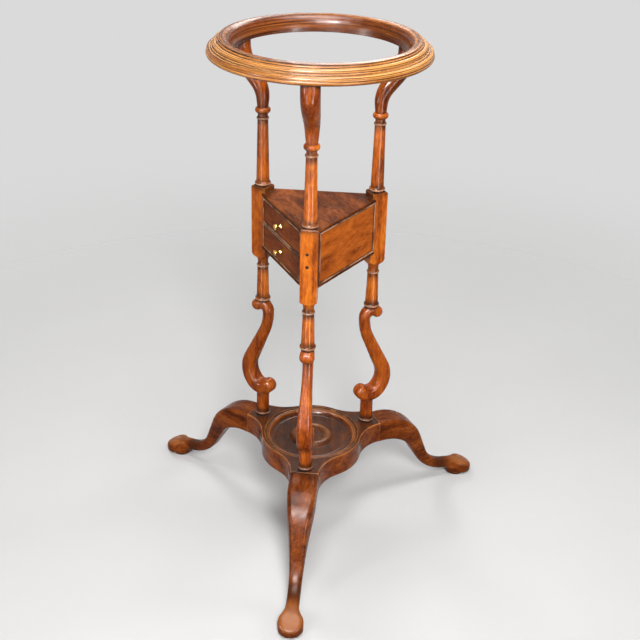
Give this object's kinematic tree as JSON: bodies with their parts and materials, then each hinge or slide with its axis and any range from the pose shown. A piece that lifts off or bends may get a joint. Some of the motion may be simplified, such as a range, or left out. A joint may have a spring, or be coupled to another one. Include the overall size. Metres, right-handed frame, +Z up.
{
  "type": "basin stand",
  "caption": "Wooden tripod basin stand: reeded ring for a wash bowl on turned columns, triangular drawer box, S-scrolls, dished platform and cabriole legs.",
  "frame": {"origin": "point on the floor under the stand's axis, the centre of the ring and of the three posts", "axes": "+Z up; the drawers face -Y and slide out along -Y; the rear post stands at +Y"},
  "size_m": [0.5552, 0.486, 0.813],
  "materials": {
    "mahogany_ring": "waxed, worn on the reeds",
    "mahogany_turned": "polished",
    "mahogany_boards": "polished",
    "mahogany_bead": "polished",
    "mahogany_base": "polished, darkened",
    "oak_lining": "bare",
    "brass": "polished"
  },
  "bodies": {
    "stand": {"base_platform": "mahogany_base", "basin_ring": "mahogany_ring", "box_bottom_board": "mahogany_boards", "box_top_board": "mahogany_boards", "drawer_divider": "oak_lining", "drawer_stop": "oak_lining", "left_arm": "mahogany_turned", "left_column": "mahogany_turned", "left_drawer_guide": "oak_lining", "left_leg": "mahogany_base", "left_panel_bead": "mahogany_bead", "left_peg": "mahogany_turned", "left_scroll": "mahogany_turned", "left_side_panel": "mahogany_boards", "panel_pins": "mahogany_turned", "rear_arm": "mahogany_turned", "rear_column": "mahogany_turned", "rear_leg": "mahogany_base", "rear_peg": "mahogany_turned", "rear_scroll": "mahogany_turned", "right_arm": "mahogany_turned", "right_column": "mahogany_turned", "right_drawer_guide": "oak_lining", "right_leg": "mahogany_base", "right_panel_bead": "mahogany_bead", "right_peg": "mahogany_turned", "right_scroll": "mahogany_turned", "right_side_panel": "mahogany_boards"},
    "upper_drawer": {"upper_drawer_back": "oak_lining", "upper_drawer_bead": "mahogany_bead", "upper_drawer_bottom": "oak_lining", "upper_drawer_front": "mahogany_boards", "upper_drawer_knob": "brass", "upper_drawer_left_side": "oak_lining", "upper_drawer_right_side": "oak_lining"},
    "lower_drawer": {"lower_drawer_back": "oak_lining", "lower_drawer_bead": "mahogany_bead", "lower_drawer_bottom": "oak_lining", "lower_drawer_front": "mahogany_boards", "lower_drawer_knob": "brass", "lower_drawer_left_side": "oak_lining", "lower_drawer_right_side": "oak_lining"}
  },
  "joints": [
    {"name": "upper_drawer_slide", "type": "slide", "parent": "stand", "child": "upper_drawer", "axis": [0, -1, 0], "range_m": [0, 0.08]},
    {"name": "lower_drawer_slide", "type": "slide", "parent": "stand", "child": "lower_drawer", "axis": [0, -1, 0], "range_m": [0, 0.08]}
  ]
}
